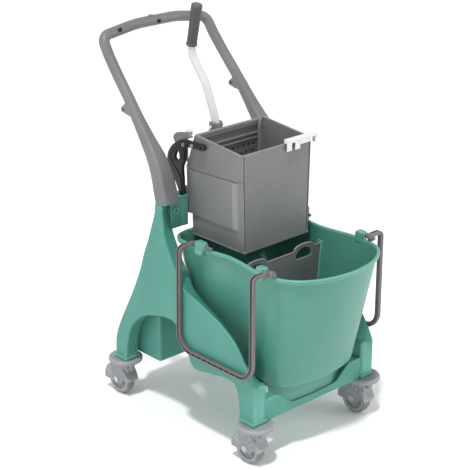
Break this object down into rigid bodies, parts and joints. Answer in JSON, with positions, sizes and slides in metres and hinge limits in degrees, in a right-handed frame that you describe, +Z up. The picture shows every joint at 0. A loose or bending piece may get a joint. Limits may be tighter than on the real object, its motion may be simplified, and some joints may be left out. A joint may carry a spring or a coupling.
{
  "type": "mop bucket trolley with wringer",
  "caption": "Two-compartment mop bucket on a moulded trolley with swivel casters, bumper rings, push handle and a lift-off lever press wringer.",
  "frame": {"origin": "on the floor, under the middle of the trolley", "axes": "+Z up, +X to the right, -Y to the front where the bucket can be drawn out, +Y to the push handle"},
  "size_m": [0.446, 0.6898, 0.9886],
  "materials": {
    "green_plastic": "injection-moulded polypropylene, fine satin grain",
    "bucket_plastic": "injection-moulded polypropylene, smooth satin",
    "wringer_plastic": "injection-moulded polypropylene, mid grey, satin",
    "handle_plastic": "injection-moulded polypropylene, light grey, satin",
    "bail_plastic": "moulded warm grey plastic, satin",
    "black_plastic": "glass-filled nylon, black, slight gloss",
    "grip_plastic": "dark grey soft-touch grip",
    "white_plastic": "white moulded plastic, slight gloss",
    "steel": "zinc-plated steel",
    "lever_paint": "steel tube with a pale grey powder coat",
    "caster_plastic": "moulded grey polyamide, satin",
    "bumper_rubber": "non-marking light grey rubber",
    "tyre_rubber": "non-marking grey thermoplastic rubber tread"
  },
  "bodies": {
    "trolley": {"base_tray": "green_plastic", "bumper_ring_front_left": "bumper_rubber", "bumper_ring_front_right": "bumper_rubber", "bumper_ring_rear_left": "bumper_rubber", "bumper_ring_rear_right": "bumper_rubber", "front_crossbar": "green_plastic", "handle_screws": "steel", "pocket_bolts": "steel", "push_handle": "handle_plastic", "rear_box": "green_plastic", "side_frame_left": "green_plastic", "side_frame_right": "green_plastic", "wringer_pocket_left": "green_plastic", "wringer_pocket_right": "green_plastic"},
    "caster_fork_front_left": {"caster_housing_front_left": "caster_plastic", "caster_axle_front_left": "steel"},
    "caster_roll_front_left": {"caster_wheel_front_left": "caster_plastic", "caster_tyre_front_left": "tyre_rubber"},
    "caster_fork_front_right": {"caster_housing_front_right": "caster_plastic", "caster_axle_front_right": "steel"},
    "caster_roll_front_right": {"caster_wheel_front_right": "caster_plastic", "caster_tyre_front_right": "tyre_rubber"},
    "caster_fork_rear_left": {"caster_housing_rear_left": "caster_plastic", "caster_axle_rear_left": "steel"},
    "caster_roll_rear_left": {"caster_wheel_rear_left": "caster_plastic", "caster_tyre_rear_left": "tyre_rubber"},
    "caster_fork_rear_right": {"caster_housing_rear_right": "caster_plastic", "caster_axle_rear_right": "steel"},
    "caster_roll_rear_right": {"caster_wheel_rear_right": "caster_plastic", "caster_tyre_rear_right": "tyre_rubber"},
    "bucket": {"bucket": "bucket_plastic"},
    "bail_left": {"bail_left": "bail_plastic"},
    "bail_right": {"bail_right": "bail_plastic"},
    "divider": {"bucket_divider": "wringer_plastic"},
    "wringer": {"wringer_casing": "wringer_plastic", "front_panel": "wringer_plastic", "drain_grid": "wringer_plastic", "hanger_left": "black_plastic", "hanger_right": "black_plastic", "hanger_bolts": "steel", "rim_clip": "white_plastic", "rest_peg": "white_plastic", "plate_hinge_pin": "steel"},
    "press_plate": {"press_plate": "wringer_plastic"},
    "lever": {"lever_shaft": "steel", "lever_hub": "wringer_plastic", "lever_tube": "lever_paint", "hub_bolt": "steel", "lever_grip": "grip_plastic", "push_roller": "white_plastic", "roller_pin": "steel"}
  },
  "joints": [
    {"name": "caster_swivel_front_left", "type": "hinge", "parent": "trolley", "child": "caster_fork_front_left", "pos_m": [-0.18, -0.215, 0.1], "axis": [0, 0, 1], "continuous": true},
    {"name": "wheel_spin_front_left", "type": "hinge", "parent": "caster_fork_front_left", "child": "caster_roll_front_left", "pos_m": [-0.18, -0.196, 0.04], "axis": [1, 0, 0], "continuous": true},
    {"name": "caster_swivel_front_right", "type": "hinge", "parent": "trolley", "child": "caster_fork_front_right", "pos_m": [0.18, -0.215, 0.1], "axis": [0, 0, 1], "continuous": true},
    {"name": "wheel_spin_front_right", "type": "hinge", "parent": "caster_fork_front_right", "child": "caster_roll_front_right", "pos_m": [0.18, -0.196, 0.04], "axis": [1, 0, 0], "continuous": true},
    {"name": "caster_swivel_rear_left", "type": "hinge", "parent": "trolley", "child": "caster_fork_rear_left", "pos_m": [-0.18, 0.259, 0.1], "axis": [0, 0, 1], "continuous": true},
    {"name": "wheel_spin_rear_left", "type": "hinge", "parent": "caster_fork_rear_left", "child": "caster_roll_rear_left", "pos_m": [-0.18, 0.278, 0.04], "axis": [1, 0, 0], "continuous": true},
    {"name": "caster_swivel_rear_right", "type": "hinge", "parent": "trolley", "child": "caster_fork_rear_right", "pos_m": [0.18, 0.259, 0.1], "axis": [0, 0, 1], "continuous": true},
    {"name": "wheel_spin_rear_right", "type": "hinge", "parent": "caster_fork_rear_right", "child": "caster_roll_rear_right", "pos_m": [0.18, 0.278, 0.04], "axis": [1, 0, 0], "continuous": true},
    {"name": "wringer_lift", "type": "slide", "parent": "trolley", "child": "wringer", "axis": [0, 0, 1], "range_m": [0, 0.5]},
    {"name": "bucket_withdraw", "type": "slide", "parent": "trolley", "child": "bucket", "axis": [0, -1, 0], "range_m": [0, 0.4]},
    {"name": "divider_lift", "type": "slide", "parent": "bucket", "child": "divider", "axis": [0, 0, 1], "range_m": [0, 0.3]},
    {"name": "bail_left_swing", "type": "hinge", "parent": "bucket", "child": "bail_left", "pos_m": [-0.161, 0, 0.48], "axis": [0, 1, 0], "range_deg": [0, 165]},
    {"name": "bail_right_swing", "type": "hinge", "parent": "bucket", "child": "bail_right", "pos_m": [0.161, 0, 0.48], "axis": [0, -1, 0], "range_deg": [0, 165]},
    {"name": "lever_pull", "type": "hinge", "parent": "wringer", "child": "lever", "pos_m": [0, 0.112, 0.56], "axis": [1, 0, 0], "range_deg": [0, 50]},
    {"name": "plate_press", "type": "hinge", "parent": "wringer", "child": "press_plate", "pos_m": [0, 0.069, 0.48], "axis": [1, 0, 0], "range_deg": [0, 32.5]}
  ],
  "couplings": [
    {"joint": "bucket_withdraw", "follows": "wringer_lift", "ratio": 0.8},
    {"joint": "plate_press", "follows": "lever_pull", "ratio": 0.64}
  ]
}
